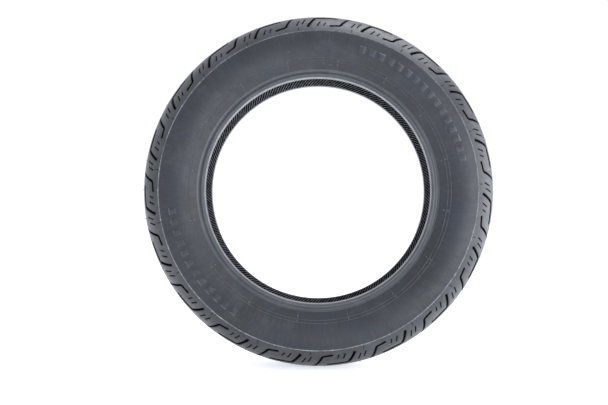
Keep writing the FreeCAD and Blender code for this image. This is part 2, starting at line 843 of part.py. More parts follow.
def build_pieces():
    pieces = [
        make_tread_cap(),
        make_undertread(),
        make_belt("belt_outer", 1, S["belt_angle"] - S["belt_step"]),
        make_belt("belt_inner", 0, S["belt_angle"]),
        make_ply("carcass_ply_outer", 0, S["turnup_long"]),
        make_ply("carcass_ply_inner", 1, S["turnup_short"]),
        make_barrier_gum(),
        make_inner_liner(),
    ]
    for side, front in (("back", False), ("front", True)):
        wires = make_bead_wires(side, front)
        pieces.append(wires)
        pieces.append(make_bead_insulation(side, wires, front))
    side_makers = [
        make_belt_edge_strip,
        make_bead_wrap,
        make_flipper,
        make_bead_filler,
        make_chafer,
        make_rim_cushion,
        make_sidewall,
    ]
    for maker in side_makers:
        pieces += on_both_sides(maker)
    return pieces


def check_document():
    for item in DOC.Objects:
        bad = {"Invalid", "Error"} & set(item.State)
        if bad:
            raise RuntimeError(f"{item.Name} is {bad}")


def export(pieces):
    os.makedirs("parts", exist_ok=True)
    for piece in pieces:
        shape = piece.Shape
        if shape.isNull() or not shape.isValid():
            raise RuntimeError(f"{piece.Label} has no valid shape")
        if not shape.Solids:
            raise RuntimeError(f"{piece.Label} has no solid")
        shape.exportStep(f"parts/{piece.Label}.step")
        print(f"{piece.Label}: {len(shape.Solids)} solids, {shape.Volume:.0f} mm3")


PIECES = build_pieces()
DOC.recompute()
check_document()
export(PIECES)
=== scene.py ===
"""Looks of the motorcycle tire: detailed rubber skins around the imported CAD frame."""

import json
import math
import random

import bmesh
import bpy
import numpy as np
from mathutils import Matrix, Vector
from mathutils.geometry import delaunay_2d_cdt


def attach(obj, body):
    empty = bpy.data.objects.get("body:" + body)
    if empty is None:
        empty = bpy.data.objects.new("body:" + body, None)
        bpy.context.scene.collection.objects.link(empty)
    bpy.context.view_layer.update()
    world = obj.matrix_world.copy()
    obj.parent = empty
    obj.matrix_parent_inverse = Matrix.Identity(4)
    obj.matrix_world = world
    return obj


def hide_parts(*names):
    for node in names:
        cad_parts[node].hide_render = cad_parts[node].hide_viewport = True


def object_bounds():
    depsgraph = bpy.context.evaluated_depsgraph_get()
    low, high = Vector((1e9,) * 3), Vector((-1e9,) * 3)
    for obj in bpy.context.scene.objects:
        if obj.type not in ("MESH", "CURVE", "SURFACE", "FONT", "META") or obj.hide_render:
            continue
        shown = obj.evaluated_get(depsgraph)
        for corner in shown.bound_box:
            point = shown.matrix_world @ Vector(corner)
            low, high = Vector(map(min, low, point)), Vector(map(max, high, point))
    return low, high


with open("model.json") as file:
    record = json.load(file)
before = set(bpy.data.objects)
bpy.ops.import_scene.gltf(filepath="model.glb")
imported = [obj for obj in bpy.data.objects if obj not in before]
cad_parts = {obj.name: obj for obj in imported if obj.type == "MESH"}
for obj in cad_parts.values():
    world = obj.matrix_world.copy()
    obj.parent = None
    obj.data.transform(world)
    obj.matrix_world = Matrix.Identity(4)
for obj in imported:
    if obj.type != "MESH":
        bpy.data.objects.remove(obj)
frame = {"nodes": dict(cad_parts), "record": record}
CAD_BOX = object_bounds()

MM = 0.001
RANDOM = random.Random(7)

# ---------------------------------------------------------------- sizes of the cross-section
# Lengths are in millimetres and angles in degrees.  A section point is (axial, radial), with
# an optional painted-light weight, and section angles are measured from the radial direction.

# crown
TREAD_CENTRE = 239.5
TREAD_RADIUS = 81.5
TREAD_EDGE = 57.9
CAP_THICKNESS = 7.2
CAP_EDGE = 55.9

# carcass, barrier gum and inner liner
CROWN_RADIUS = 79.8
CROWN_CENTRE = (0.0, 228.4)
CROWN_ANGLE = 43.95
SIDE_CENTRE = (29.0, 258.5)
SIDE_RADIUS = 38.0
SIDE_END = 135.0
SIDE_TOP = 56.0
PLIES = 2.0
PLY = 1.0
BARRIER = 0.8
LINER = 1.5
LINER_END = 202.5
RIBS = 231
# one rib as (share of the rib spacing, height, painted-light weight)
# the low part between ribs gets painted shade and the rib tops a painted highlight
RIB_SHAPE = [(0.0, 0.0, -0.9), (0.44, 0.0, -0.9), (0.58, 0.75, 1.0), (0.86, 0.75, 1.0)]

# bead core and the ply turned up around it
CORE_INSIDE = 41.0
CORE_OUTSIDE = 48.6
CORE_BOTTOM = 206.6
CORE_CORNER = 2.0
PLY_BEND = 6.0
TURNUP_START = 213.9
TURNUP_BEND = 8.0
TURNUP_LEAN = 30.0
TURNUP_LENGTH = 15.0
TURNUP_SHORT = 11.0

# rim cushion
BORE = 202.0
TOE_TOP = BORE + 2.0
LAND_END = 45.0
SEAT_TAPER = 5.0
HEEL_START = 53.3
HEEL_RADIUS = 2.5
BEAD_FACE = 55.8
FACE_RING = 206.6
FACE_TOP = 208.2
VALLEY_DEPTH = 2.1

# sidewall
LOWER_START = (55.2, 216.3)
LOWER_LEAN = 27.5
LOWER_LENGTH = 22.7
LOWER_SEAM = 0.2
FINE_RINGS = (15.1, 20.9)
SIDEWALL_RADIUS = 62.0
VENT_LINES = 16
VENT_START = 9.0
BAR_GROUPS = [(19.0, 60.0, 16), (216.0, 47.0, 12)]
BAR_ANGLE = 2.6
BAR_RANGE = (252.7, 265.6)
BAR_RISE = 0.6

# divisions around the tire
SIDE_STEPS = 900
LINER_STEPS = 360

# ---------------------------------------------------------------- tread pattern
PITCHES = 19
PITCH = 360.0 / PITCHES
PHASE = 15.5
STEPS_PER_PITCH = 36
STEP = PITCH / STEPS_PER_PITCH
ROWS_ACROSS = 29
# place of the seam between two pitches, in steps, near the centre and near the shoulder, and
# the angles across the crown between which it changes over
SEAM_STEPS = (-5, -9)
SEAM_BEND = (20.0, 30.0)
GROOVE_DEPTH = 5.5
SIPE_DEPTH = 3.6
CENTRE_HALF_WIDTH = 3.5
CENTRE_DEPTH = 6.0
CENTRE_LIP = 0.3
BRIDGES = 6
# a wear bridge as (distance around, height above the groove's floor)
BRIDGE_SECTION = [(-4.6, -0.6), (-3.9, 2.0), (3.9, 2.0), (4.6, -0.6)]
# radius that turns clock angles into lengths in the flat layout
REFERENCE_RADIUS = 300.0
# one pitch on one shoulder: half widths at the two ends, depth, and path as (degrees around,
# degrees across)
GROOVES = [
    ((2.3, 4.0), GROOVE_DEPTH, [(0.0, 50.0), (2.7, 27.5), (9.6, 25.0)]),
    ((2.0, 2.0), GROOVE_DEPTH, [(7.85, 49.0), (11.3, 47.0), (14.4, 16.0), (15.3, 9.5)]),
]
SIPES = [
    ((1.0, 1.0), SIPE_DEPTH, [(-3.8, 46.0), (-2.8, 35.0)]),
    ((1.0, 1.0), SIPE_DEPTH, [(-1.85, 43.7), (-0.7, 30.5)]),
    ((1.0, 1.0), SIPE_DEPTH, [(3.3, 49.5), (4.3, 40.0)]),
    ((0.9, 0.9), SIPE_DEPTH, [(5.5, 48.5), (6.2, 41.7)]),
    ((0.35, 0.35), 0.6, [(-3.4, 56.2), (-3.4, 51.5)]),
]
# a cut with a larger half width than this is a groove, not a sipe
WIDEST_SIPE = 1.0
# painted-light weights: 1 is a painted highlight, 0 plain rubber and -1 painted shade in a hollow
# groove rims get some painted shade and the shoulder ridge a painted highlight
RIM_SHADE = -0.45
HOLLOW_SHADE = -1.0
RIDGE_HIGHLIGHT = 0.25
# moulding flash: points around the ridge, points from one random height to the next, lean
# from the radial direction, and degrees between two nubs
FLASH_POINTS = 1368
FLASH_RUN = 8
FLASH_LEAN = 68.0
NUB_SPACING = 360.0 / 34
# vent hairs: rows across the crown, points around one hair and its radius in metres
HAIR_ROWS = (16.0, 33.0, 54.0)
HAIR_SIDES = 5
HAIR_RADIUS = 0.45 * MM


# ---------------------------------------------------------------- small geometry helpers


def place(around, axial, radial):
    """Point in metres from a clock angle (degrees, seen from the front) and a section point."""
    turn = math.radians(around)
    return (radial * math.sin(turn) * MM, axial * MM, radial * math.cos(turn) * MM)


def polar(centre, radius, angle):
    turn = math.radians(angle)
    return (centre[0] + radius * math.sin(turn), centre[1] + radius * math.cos(turn))


def arc(centre, radius, first, last, steps):
    return [polar(centre, radius, first + (last - first) * i / steps) for i in range(steps + 1)]


def arc_between(start, end, radius, turn, steps):
    """Points from start to end on an arc that turns left (+1) or right (-1)."""
    a, b = Vector(start), Vector(end)
    chord = b - a
    height = math.sqrt(max(radius**2 - (chord.length / 2) ** 2, 0.0))
    centre = (a + b) / 2 + Vector((-chord.y, chord.x)).normalized() * height * turn
    first = math.degrees(math.atan2(a.x - centre.x, a.y - centre.y))
    last = math.degrees(math.atan2(b.x - centre.x, b.y - centre.y))
    if turn > 0 and last > first:
        last -= 360
    if turn < 0 and last < first:
        last += 360
    return arc(tuple(centre), radius, first, last, steps)


def ridge_point():
    """Shoulder ridge, where the tread surface ends."""
    return polar((0.0, TREAD_CENTRE), TREAD_RADIUS, TREAD_EDGE)


def closed_loop(start, count):
    """Edges of a closed loop through consecutive points."""
    return [(start + i, start + (i + 1) % count) for i in range(count)]


class Skin:
    """Collects one mesh's vertices and faces, and a painted-light weight for each vertex."""

    def __init__(self):
        self.points = []
        self.faces = []
        self.painted_light = []

    def add(self, points, faces, painted_light=None):
        start = len(self.points)
        self.points += points
        self.painted_light += painted_light or [0.0] * len(points)
        self.faces += [tuple(start + i for i in face) for face in faces]

    def lathe(self, profile, angles, closed, side=1):
        """Turn a section about the wheel axis; side -1 mirrors it to the front."""
        count, rows = len(profile), len(angles)
        points, painted_light = [], []
        for around in angles:
            for axial, radial, *weight in profile:
                points.append(place(around, side * axial, radial))
                painted_light.append(weight[0] if weight else 0.0)
        faces = []
        span = count if closed else count - 1
        for row in range(rows):
            for i in range(span):
                a = row * count + i
                b = row * count + (i + 1) % count
                c = (row + 1) % rows * count + (i + 1) % count
                d = (row + 1) % rows * count + i
                faces.append((a, b, c, d) if side > 0 else (d, c, b, a))
        self.add(points, faces, painted_light)

    def piece(self, name, material, replaced, smooth=30.0, weld=False):
        """Turn the collected faces into an object that replaces the named CAD nodes."""
        mesh = bpy.data.meshes.new(name)
        mesh.from_pydata(self.points, [], self.faces)
        # the weight paints highlights (above 0) and shade (below 0) into the rubber's colour
        mesh.attributes.new("painted_light", "FLOAT", "POINT").data.foreach_set("value", self.painted_light)
        if weld:
            weld_mesh(mesh)
        mesh.polygons.foreach_set("use_smooth", [True] * len(mesh.polygons))
        mesh.set_sharp_from_angle(angle=math.radians(smooth))
        mesh.materials.append(material)
        made = bpy.data.objects.new(name, mesh)
        bpy.context.scene.collection.objects.link(made)
        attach(made, "root")
        if replaced:
            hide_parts(*replaced)


def weld_mesh(mesh):
    """Join the vertices that meet at seams and turn every face outwards."""
    work = bmesh.new()
    work.from_mesh(mesh)
    bmesh.ops.remove_doubles(work, verts=work.verts, dist=2e-6)
    bmesh.ops.recalc_face_normals(work, faces=work.faces)
    work.to_mesh(mesh)
    work.free()


def even_angles(count, start=0.0):
    return [start + 360.0 * i / count for i in range(count)]


# ---------------------------------------------------------------- tread


def crown(around, across, depth, side):
    """Point on or below the tread surface."""
    axial, radial = polar((0.0, TREAD_CENTRE), TREAD_RADIUS - depth, across)
    return place(around, side * axial, radial)


def flat(around, across):
    """Crown angles as lengths in a flat picture of the tread."""
    return (math.radians(around) * REFERENCE_RADIUS, math.radians(across) * TREAD_RADIUS)


def unflat(x, y):
    return (math.degrees(x / REFERENCE_RADIUS), math.degrees(y / TREAD_RADIUS))


def smooth_path(points, rounds, cut):
    """Round the inner corners of a path by cutting them."""
    for _ in range(rounds):
        rounded = [points[0]]
        for i in range(1, len(points) - 1):
            before, here, after = (Vector(points[j]) for j in (i - 1, i, i + 1))
            back = min(cut, (before - here).length / 3)
            ahead = min(cut, (after - here).length / 3)
            rounded.append(tuple(here + (before - here).normalized() * back))
            rounded.append(tuple(here + (after - here).normalized() * ahead))
        rounded.append(points[-1])
        points = rounded
        cut /= 3
    return points


def divide_path(points, step):
    divided = [points[0]]
    for a, b in zip(points, points[1:]):
        a, b = Vector(a), Vector(b)
        parts = max(1, round((b - a).length / step))
        divided += [tuple(a.lerp(b, i / parts)) for i in range(1, parts + 1)]
    return divided


def strip(path, widths, grow):
    """Closed outline around a path, with softly rounded ends.

    The half width passes from the first to the last of the two widths, plus some growth.
    """
    points = [Vector(p) for p in path]
    left, right = [], []
    for i, point in enumerate(points):
        share = min(max(2.0 * i / (len(points) - 1) - 0.5, 0.0), 1.0)
        half_width = widths[0] + (widths[1] - widths[0]) * share + grow
        before = (point - points[i - 1]).normalized() if i else None
        after = (points[i + 1] - point).normalized() if i + 1 < len(points) else None
        before = before or after
        after = after or before
        along = (before + after).normalized()
        normal = Vector((-along.y, along.x)) * (half_width / along.dot(before))
        left.append(point + normal)
        right.append(point - normal)
    outline = list(left)
    for end, along, width in (
        (points[-1], points[-1] - points[-2], widths[1] + grow),
        (points[0], points[0] - points[1], widths[0] + grow),
    ):
        along = along.normalized()
        normal = Vector((-along.y, along.x))
        cap = []
        for turn in (60, 30, 0, -30, -60):
            swing = math.radians(turn)
            bulge = 0.55 * width * math.cos(swing)
            cap.append(end + along * bulge + normal * (width * math.sin(swing)))
        outline += cap
        if end is points[-1]:
            outline += right[::-1]
    return [tuple(p) for p in outline]


def inside(polygon, x, y):
    hit = False
    for (x0, y0), (x1, y1) in zip(polygon, polygon[1:] + polygon[:1]):
        if (y0 > y) != (y1 > y) and x < (x1 - x0) * (y - y0) / (y1 - y0) + x0:
            hit = not hit
    return hit


def pitch_edge(across):
    """Clock angle of the seam between two pitches, kept clear of every groove."""
    low, high = SEAM_STEPS[0] * STEP, SEAM_STEPS[1] * STEP
    blend = min(max((across - SEAM_BEND[0]) / (SEAM_BEND[1] - SEAM_BEND[0]), 0.0), 1.0)
    return low + (high - low) * blend


def pitch_rows():
    """Angles across the crown from the centre groove to the shoulder ridge."""
    first = math.degrees(math.asin((CENTRE_HALF_WIDTH + CENTRE_LIP) / TREAD_RADIUS))
    return [first + (TREAD_EDGE - first) * i / ROWS_ACROSS for i in range(ROWS_ACROSS + 1)]


def pitch_border():
    """Closed flat outline of one pitch, walked around its four sides."""
    rows = pitch_rows()
    low, high = rows[0], rows[-1]
    border = [flat(pitch_edge(across), across) for across in rows]
    border += [flat(pitch_edge(high) + i * STEP, high) for i in range(1, STEPS_PER_PITCH)]
    border += [flat(pitch_edge(across) + PITCH, across) for across in rows[::-1]]
    border += [flat(pitch_edge(low) + i * STEP, low) for i in range(STEPS_PER_PITCH - 1, 0, -1)]
    return border


def groove_levels(wide, depth):
    """Nested outlines of a groove as (growth, depth): rounded rim, wall and floor."""
    if wide:
        return [(0.35, 0.0), (0.12, 0.12), (0.0, 0.5), (-0.3, depth - 0.7), (-0.9, depth)]
    return [(0.15, 0.0), (0.0, 0.18), (-0.15, depth)]


def groove_outlines():
    """Every cut of a pitch as (nested outlines, their levels, outline kept free around it)."""
    cuts = []
    for widths, depth, path in GROOVES + SIPES:
        wide = widths[0] > WIDEST_SIPE
        line = smooth_path([flat(*point) for point in path], rounds=3, cut=1.8)
        line = divide_path(line, 2.5 if wide else 2.0)
        levels = groove_levels(wide, depth)
        outlines = [strip(line, widths, grow) for grow, _ in levels]
        guard = strip(line, widths, 1.3 if wide else 0.8)
        cuts.append((outlines, levels, guard))
    return cuts


def pitch_surface(cuts):
    """Crown surface of one pitch around its cuts: flat points with painted-light weight, and faces."""
    border = pitch_border()
    points = list(border)
    edges = closed_loop(0, len(border))
    rim_points = set()
    for outlines, _, _ in cuts:
        start, count = len(points), len(outlines[0])
        points += outlines[0]
        edges += closed_loop(start, count)
        rim_points.update(range(start, start + count))
    for across in pitch_rows()[1:-1]:
        for i in range(1, STEPS_PER_PITCH):
            spot = flat(pitch_edge(across) + i * STEP, across)
            if not any(inside(guard, *spot) for _, _, guard in cuts):
                points.append(spot)
    meshed = delaunay_2d_cdt([Vector(point) for point in points], edges, [], 0, 1e-6)
    surface = []
    for point, sources in zip(meshed[0], meshed[3]):
        on_rim = any(source in rim_points for source in sources)
        # points on the rim of a cut get painted shade
        surface.append((point.x, point.y, 0.0, RIM_SHADE if on_rim else 0.0))
    faces = []
    for face in meshed[2]:
        x = sum(meshed[0][i].x for i in face) / 3
        y = sum(meshed[0][i].y for i in face) / 3
        in_cut = any(inside(outlines[0], x, y) for outlines, _, _ in cuts)
        if inside(border, x, y) and not in_cut:
            faces.append(tuple(face))
    return surface, faces


def add_cut(points, faces, outlines, levels):
    """Add the walls of a groove or sipe, from its rim down, and its floor."""
    count = len(outlines[0])
    for level in range(len(levels) - 1):
        start = len(points)
        for index in (level, level + 1):
            depth = levels[index][1]
            # painted shade: lighter on the rim, full on the walls and the floor
            painted_light = HOLLOW_SHADE if depth else RIM_SHADE
            points += [(x, y, depth, painted_light) for x, y in outlines[index]]
        for i in range(count):
            j = (i + 1) % count
            faces.append((start + i, start + j, start + count + j, start + count + i))
    floor = [Vector(point) for point in outlines[-1]]
    meshed = delaunay_2d_cdt(floor, closed_loop(0, count), [], 1, 1e-6)
    start = len(points)
    points += [(point.x, point.y, levels[-1][1], HOLLOW_SHADE) for point in meshed[0]]
    faces += [tuple(start + i for i in face) for face in meshed[2]]


def pitch_mesh():
    """One pitch of one shoulder: flat points with depth and painted-light weight, and its faces."""
    cuts = groove_outlines()
    points, faces = pitch_surface(cuts)
    for outlines, levels, _ in cuts:
        add_cut(points, faces, outlines, levels)
    return points, faces


def tread_underside():
    """Closed back of the cap, from one ridge under the crown to the other ridge."""
    inner = TREAD_RADIUS - CAP_THICKNESS
    back = [polar((0.0, TREAD_CENTRE), TREAD_RADIUS, -TREAD_EDGE)]
    back += arc((0.0, TREAD_CENTRE), inner, -CAP_EDGE, CAP_EDGE, 24)
    back.append(ridge_point())
    return back


def centre_channel():
    """Section of the straight centre groove, from its back rim to its front rim."""
    wide = CENTRE_HALF_WIDTH + CENTRE_LIP
    top = TREAD_CENTRE + math.sqrt(TREAD_RADIUS**2 - wide**2)
    half = [
        (wide, top),
        (CENTRE_HALF_WIDTH + 0.1, top - 0.1),
        (CENTRE_HALF_WIDTH, top - 0.4),
        (CENTRE_HALF_WIDTH - 0.3, top - CENTRE_DEPTH + 0.7),
        (CENTRE_HALF_WIDTH - 0.9, top - CENTRE_DEPTH),
    ]
    return half + [(-axial, radial) for axial, radial in half[::-1]]


def add_wear_bridges(skin):
    """Low bridges across the centre groove."""
    floor = TREAD_CENTRE + TREAD_RADIUS - CENTRE_DEPTH
    half = CENTRE_HALF_WIDTH - 0.05
    for index in range(BRIDGES):
        middle = (index + 0.5) * 360.0 / BRIDGES
        points = []
        for axial in (-half, half):
            for along, up in BRIDGE_SECTION:
                points.append(place(middle + math.degrees(along / floor), axial, floor + up))
        faces = [(0, 1, 2, 3), (7, 6, 5, 4)]
        faces += [(i, i + 4, (i + 1) % 4 + 4, (i + 1) % 4) for i in range(4)]
        skin.add(points, faces)


def make_tread(material):
    """Tread cap: the same pitch repeated on both shoulders, the centre groove and the back."""
    skin = Skin()
    flat_points, faces = pitch_mesh()
    angles = [unflat(x, y) + (depth, painted_light) for x, y, depth, painted_light in flat_points]
    # a painted highlight along the shoulder ridge
    weights = [RIDGE_HIGHLIGHT if across > TREAD_EDGE - 0.1 else painted_light for _, across, _, painted_light in angles]
    for side, shift in ((-1, 0.0), (1, PITCH / 2)):
        turned = faces if side < 0 else [face[::-1] for face in faces]
        for index in range(PITCHES):
            start = PHASE + shift + index * PITCH
            points = [crown(start + around, across, depth, side) for around, across, depth, _ in angles]
            skin.add(points, turned, weights)
    ring = even_angles(PITCHES * STEPS_PER_PITCH, PHASE + SEAM_STEPS[0] * STEP)
    skin.lathe(centre_channel(), ring, closed=False)
    skin.lathe(tread_underside(), ring, closed=False)
    skin.piece("tread", material, ["tread_cap"], 28.0, weld=True)
    bridges = Skin()
    add_wear_bridges(bridges)
    bridges.piece("wear_bridges", material, [], 28.0)


# ---------------------------------------------------------------- sidewall


def lower_wall(along, out):
    """Point on the straight lower sidewall."""
    lean = math.radians(LOWER_LEAN)
    return (
        LOWER_START[0] + along * math.sin(lean) + out * math.cos(lean),
        LOWER_START[1] + along * math.cos(lean) - out * math.sin(lean),
    )


def turnup(offset, length):
    """Point on the turned-up ply, at an offset outwards and a length along its leaning part."""
    centre = (CORE_OUTSIDE + TURNUP_BEND, TURNUP_START)
    radius = TURNUP_BEND - offset
    lean = math.radians(TURNUP_LEAN)
    return (
        centre[0] - radius * math.cos(lean) + length * math.sin(lean),
        centre[1] + radius * math.sin(lean) + length * math.cos(lean),
    )


def fine_ring(along):
    """Rounded little ring on the lower sidewall, walked towards the bead, with a painted highlight on
    its top.
    """
    rise = [(1.3, 0.0), (1.1, -0.03), (0.9, 0.08), (0.7, 0.32), (0.5, 0.38)]
    fall = [(0.3, 0.32), (0.1, 0.08), (-0.1, -0.03), (-0.3, 0.0)]
    return [lower_wall(along + step, up) + (0.55 * up,) for step, up in rise + fall]


def outer_wall(steps):
    """Sidewall's outer arc, from below the shoulder ridge to the lower sidewall."""
    ridge = ridge_point()
    below = (ridge[0] + 0.25, ridge[1] - 1.0)
    return arc_between(below, lower_wall(LOWER_LENGTH, 0), SIDEWALL_RADIUS, -1, steps)


def sidewall_section():
    """Closed section of the sidewall, from the shoulder ridge down and back up inside."""
    ridge = ridge_point()
    # painted highlight along the shoulder ridge and just below it
    section = [ridge + (RIDGE_HIGHLIGHT,), (ridge[0] + 0.12, ridge[1] - 0.4, RIDGE_HIGHLIGHT)]
    wall = outer_wall(40)
    section += [wall[0] + (0.15,)] + wall[1:]
    section += fine_ring(FINE_RINGS[1])
    section += [lower_wall(along, 0.0) for along in (19.7, 18.2, 17.0)]
    section += fine_ring(FINE_RINGS[0])
    section += [lower_wall(along, 0.0) for along in (12.5, 10.0, 7.5, 5.0, 2.7, 1.2)]
    section += [lower_wall(0.5, -0.05), lower_wall(0.0, -LOWER_SEAM)]
    section += [turnup(PLIES, 0.0), turnup(PLIES, TURNUP_SHORT), turnup(PLY, TURNUP_SHORT)]
    section += [turnup(PLY, TURNUP_LENGTH), turnup(0.0, TURNUP_LENGTH)]
    section += arc(SIDE_CENTRE, SIDE_RADIUS, SIDE_END, SIDE_TOP, 14)
    section.append(polar((0.0, TREAD_CENTRE), TREAD_RADIUS - CAP_THICKNESS, CAP_EDGE))
    return section


def sidewall_surface(radial):
    """Axial position of the sidewall's outer arc at a radius."""
    points = outer_wall(80)
    radii = [point[1] for point in points][::-1]
    axials = [point[0] for point in points][::-1]
    return float(np.interp(radial, radii, axials))


def raised_block(skin, side, surface, around, rows, rise, painted_light):
    """Flat-topped block on a surface of revolution, between two clock angles and two places.

    The surface gives the section point at a place along it, raised by a height.  The painted
    highlight on the top is a pair, for the end nearer the bead and the end nearer the tread.
    """
    slope = 0.35
    start, end = around
    low, high = rows
    divisions = 6
    levels = [(slope, -0.6), (slope, 0.0), (0.12, rise - 0.12), (-0.1, rise)]
    points, weights = [], []
    for grow, up in levels:
        for i in range(divisions + 1):
            along = low - grow + (high - low + 2 * grow) * i / divisions
            axial, radial = surface(along, up)
            swell = math.degrees(grow / radial)
            for angle in (start - swell, end + swell):
                points.append(place(angle, side * axial, radial))
                weights.append((painted_light[0] if i < divisions else painted_light[1]) if up > 0.1 else 0.0)
    faces = []
    per_level = 2 * (divisions + 1)
    loop = [2 * i for i in range(divisions + 1)] + [2 * i + 1 for i in range(divisions, -1, -1)]
    for level in range(len(levels) - 1):
        for a, b in zip(loop, loop[1:] + loop[:1]):
            a, b = a + level * per_level, b + level * per_level
            faces.append((a, b, b + per_level, a + per_level))
    top = (len(levels) - 1) * per_level
    for i in range(divisions):
        corner = top + 2 * i
        faces.append((corner, corner + 2, corner + 3, corner + 1))
    if side > 0:
        faces = [face[::-1] for face in faces]
    skin.add(points, faces, weights)


def bar_angles(first, span, count, side):
    """Clock angles of a group's bars; the back sidewall carries them turned round."""
    for index in range(count):
        end = first + span * index / (count - 1)
        if side < 0:
            yield end - BAR_ANGLE, end
        else:
            yield 360.0 - end, 360.0 - end + BAR_ANGLE


def upper_wall(radial, up):
    """Point on the sidewall's outer arc at a radius, raised along the axis."""
    return (sidewall_surface(radial) + up, radial)


def add_vent_lines(skin, side):
    """Fine radial lines across the lower sidewall, each with two small vent dots, all with painted
    highlights on their tops.
    """
    for index in range(VENT_LINES):
        around = VENT_START + index * 360.0 / VENT_LINES
        sides = (around - 0.07, around + 0.07)
        raised_block(skin, side, lower_wall, sides, (4.0, 20.5), 0.16, (0.12, 0.12))
        sides = (around - 0.12, around + 0.12)
        for along in (10.3, 18.2):
            rows = (along - 0.45, along + 0.45)
            raised_block(skin, side, lower_wall, sides, rows, 0.4, (0.5, 0.5))


def make_sidewall(name, side, material):
    """Sidewall with its fine rings, plain raised bars and vent lines."""
    skin = Skin()
    skin.lathe(sidewall_section(), even_angles(SIDE_STEPS), closed=True, side=side)
    for first, span, count in BAR_GROUPS:
        for around in bar_angles(first, span, count, side):
            # painted highlight on the bar tops, stronger at the end nearer the tread
            painted_light = (0.03, RANDOM.uniform(0.1, 0.35))
            raised_block(skin, side, upper_wall, around, BAR_RANGE, BAR_RISE, painted_light)
    add_vent_lines(skin, side)
    skin.piece(name, material, [name.replace("_skin", "")], 30.0)


# ---------------------------------------------------------------- bead and liner


def core_round(offset):
    """Rounded bottom of the bead core at an offset, walked from outside to cavity side."""
    right = (CORE_OUTSIDE - CORE_CORNER, CORE_BOTTOM + CORE_CORNER)
    left = (CORE_INSIDE + CORE_CORNER, CORE_BOTTOM + CORE_CORNER)
    radius = CORE_CORNER + offset
    return arc(right, radius, 90.0, 180.0, 6) + arc(left, radius, 180.0, 270.0, 6)


def face_ring():
    """Thin raised ring on the bead's flat face, with a painted highlight on its top."""
    rise = [(-0.7, 0.0), (-0.45, 0.08), (-0.2, 0.22), (0.0, 0.26)]
    fall = [(0.2, 0.22), (0.45, 0.08), (0.7, 0.0)]
    return [(BEAD_FACE + up, FACE_RING + step, 0.6 * up) for step, up in rise + fall]


def valley_curve():
    """Smooth shallow valley from the bead's flat face to the lower sidewall."""
    end = lower_wall(0.0, -LOWER_SEAM)
    steps = 12
    curve = []
    for i in range(1, steps + 1):
        share = i / steps
        sink = VALLEY_DEPTH * math.sin(math.pi * share) ** 1.3
        axial = BEAD_FACE + (end[0] - BEAD_FACE) * share - sink
        curve.append((axial, FACE_TOP + (end[1] - FACE_TOP) * share))
    return curve


def seat_point(axial, painted_light):
    """Point on the tapered bead seat."""
    return (axial, BORE + (axial - LAND_END) * math.tan(math.radians(SEAT_TAPER)), painted_light)


def cushion_section():
    """Closed section of the rim cushion: toe, land, taper, heel, face and hollow inside."""
    toe = CORE_INSIDE - PLIES - BARRIER - LINER
    heel = (HEEL_START, seat_point(HEEL_START, 0.0)[1] + HEEL_RADIUS)
    section = [(toe + LINER, TOE_TOP), (toe + 0.35, TOE_TOP), (toe + 0.35, BORE + 0.4)]
    section += [(toe + 0.7, BORE + 0.1), (37.6, BORE), (39.0, BORE), (42.0, BORE)]
    # painted highlight along the land's end, the seat taper and the heel line
    section += [(LAND_END, BORE, 0.3), seat_point(47.5, 1.0), seat_point(50.5, 0.2)]
    section += arc(heel, HEEL_RADIUS, 180.0, 90.0, 8)
    section += face_ring()
    section += [(BEAD_FACE, FACE_TOP - 0.3), (BEAD_FACE - 0.02, FACE_TOP)]
    section += valley_curve()
    section += [turnup(PLIES, 0.0), (51.0, 215.9), (CORE_OUTSIDE + PLIES, TURNUP_START)]
    section.append((CORE_OUTSIDE + PLIES + BARRIER, TURNUP_START))
    section += core_round(PLIES + BARRIER)
    return section


def make_cushion(name, side, material):
    """Rim cushion with its tapered seat, heel, face ring and valley."""
    skin = Skin()
    skin.lathe(cushion_section(), even_angles(SIDE_STEPS), closed=True, side=side)
    skin.piece(name, material, [name.replace("_skin", "")], 30.0)


def liner_half(offset, steps):
    """Half section of a liner surface from the crown's top to the toe."""
    half = arc(CROWN_CENTRE, CROWN_RADIUS - offset, 0.0, CROWN_ANGLE, steps)
    half += arc(SIDE_CENTRE, SIDE_RADIUS - offset, CROWN_ANGLE, SIDE_END, steps)[1:]
    lean = math.radians(180.0 - SIDE_END)
    end = polar(SIDE_CENTRE, SIDE_RADIUS, SIDE_END)
    run = (end[0] - CORE_INSIDE - PLY_BEND * (1 - math.cos(lean))) / math.sin(lean)
    centre = (CORE_INSIDE + PLY_BEND, end[1] - run * math.cos(lean) - PLY_BEND * math.sin(lean))
    half += arc(centre, PLY_BEND + offset, 180.0 + SIDE_END, 270.0, 5)
    half += [(CORE_INSIDE - offset, radial) for radial in (212.0, 208.5, 206.0, LINER_END)]
    return half


def both_halves(half):
    """Section over both sides of the tire, from one bead over the crown to the other."""
    return [(-axial, radial) for axial, radial in half[:0:-1]] + half


def rib_turns(section):
    """Turn of the slanted ribs at each section point, so that they lean 45 degrees."""
    turn = [0.0]
    for a, b in zip(section, section[1:]):
        turn.append(turn[-1] - math.degrees(math.dist(a, b) / ((a[1] + b[1]) / 2)))
    return turn


def ribbed_surface(section):
    """Points, faces and painted-light weights of the liner's ribs along an open section."""
    turn = rib_turns(section)
    per_row = RIBS * len(RIB_SHAPE)
    points, painted_light, faces = [], [], []
    for i, (axial, radial) in enumerate(section):
        before = section[max(i - 1, 0)]
        after = section[min(i + 1, len(section) - 1)]
        along = (Vector(after) - Vector(before)).normalized()
        normal = Vector((along.y, -along.x))
        for rib in range(RIBS):
            for share, rise, weight in RIB_SHAPE:
                around = (rib + share) * 360.0 / RIBS + turn[i]
                spot = Vector((axial, radial)) + normal * rise
                points.append(place(around, spot.x, spot.y))
                painted_light.append(weight)
    for row in range(len(section) - 1):
        for i in range(per_row):
            here, ahead = row * per_row + i, row * per_row + (i + 1) % per_row
            faces.append((here, ahead, ahead + per_row, here + per_row))
    return points, faces, painted_light


